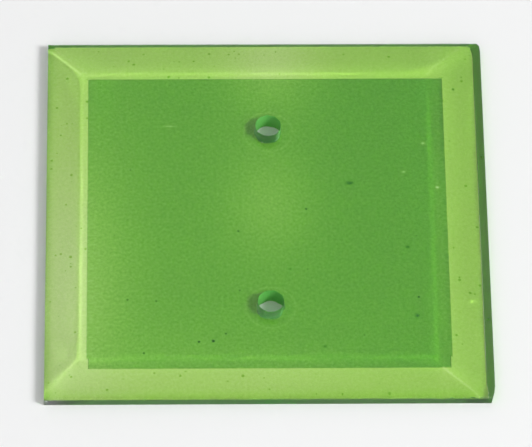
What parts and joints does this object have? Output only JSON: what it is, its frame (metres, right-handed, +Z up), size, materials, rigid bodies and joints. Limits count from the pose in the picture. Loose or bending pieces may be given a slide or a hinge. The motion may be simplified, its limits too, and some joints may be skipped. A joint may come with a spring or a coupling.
{
  "type": "negative carrier glass",
  "caption": "Flat square plate of green glass with a broad bevelled rim and drilled holes on its centre line.",
  "frame": {"origin": "middle of the underside, on the surface that the plate lies on", "axes": "+X to the right, +Y to the back, +Z up out of the bevelled face"},
  "size_m": [0.108, 0.108, 0.0047],
  "materials": {
    "green_glass": "polished top, ground panel underneath"
  },
  "bodies": {
    "root": {"glass_plate": "green_glass"}
  },
  "joints": []
}
